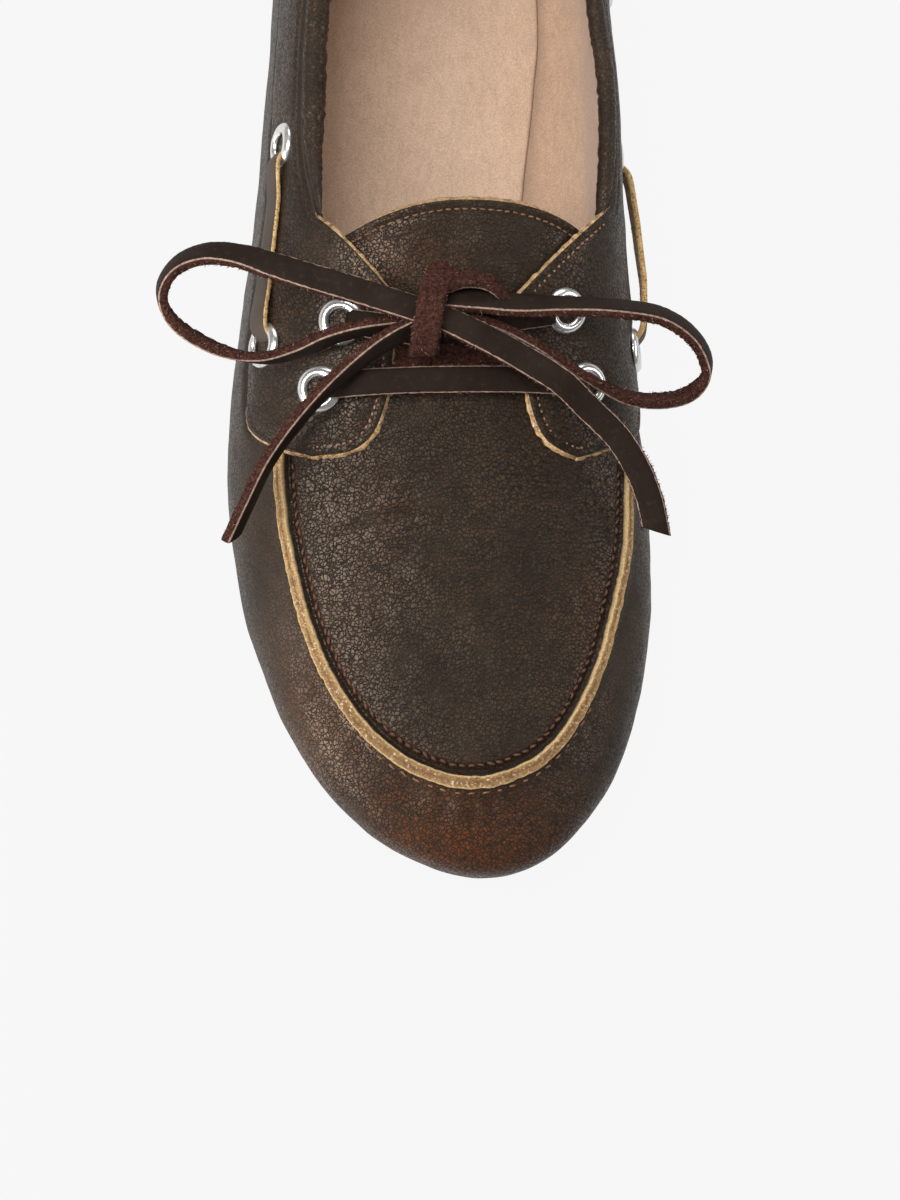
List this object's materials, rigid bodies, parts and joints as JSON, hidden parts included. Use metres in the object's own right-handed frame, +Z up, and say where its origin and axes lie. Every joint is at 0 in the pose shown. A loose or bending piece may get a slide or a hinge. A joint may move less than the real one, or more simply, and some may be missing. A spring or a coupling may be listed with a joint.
{
  "type": "loafer",
  "caption": "Lace-up moccasin flat for the right foot: hollow grained-leather upper with a raised toe seam, collar band, tongue, metal eyelets, flat leather bow and thin sole.",
  "frame": {"origin": "on the floor, under the middle of the shoe's box without the bow", "axes": "+Z up, toe towards -Y, the medial (big-toe) side towards +X"},
  "size_m": [0.1188, 0.2566, 0.0695],
  "materials": {
    "leather": "dark brown pebble-grained leather, semi-matt, burnished reddish at the toe",
    "raw_edge": "raw cut leather edge, tan, matt and slightly fibrous",
    "suede": "beige suede, matt, short nap",
    "rubber": "dark brown rubber, matt",
    "nickel": "polished nickel plating",
    "lace": "flat leather lace, smooth dark face, fuzzy plum-brown flesh side, pale cut edges"
  },
  "bodies": {
    "root": {"outsole": "rubber", "heel_lift": "rubber", "insole": "suede", "upper": "leather", "tongue": "leather", "collar_band": "leather", "moc_seam": "raw_edge", "collar_roll": "leather", "lace_bars": "lace", "eyelet_front_lower_lateral": "nickel", "eyelet_front_upper_lateral": "nickel", "eyelet_side_1_lateral": "nickel", "eyelet_side_2_lateral": "nickel", "eyelet_side_3_lateral": "nickel", "eyelet_side_4_lateral": "nickel", "eyelet_front_lower_medial": "nickel", "eyelet_front_upper_medial": "nickel", "eyelet_side_1_medial": "nickel", "eyelet_side_2_medial": "nickel", "eyelet_side_3_medial": "nickel", "eyelet_side_4_medial": "nickel", "side_lace_front_lateral": "lace", "side_lace_front_medial": "lace", "side_lace_back_lateral": "lace", "side_lace_back_medial": "lace", "lace_knot": "lace", "lace_loop_lateral": "lace", "lace_loop_medial": "lace", "lace_end_lateral": "lace", "lace_end_medial": "lace"}
  },
  "joints": []
}
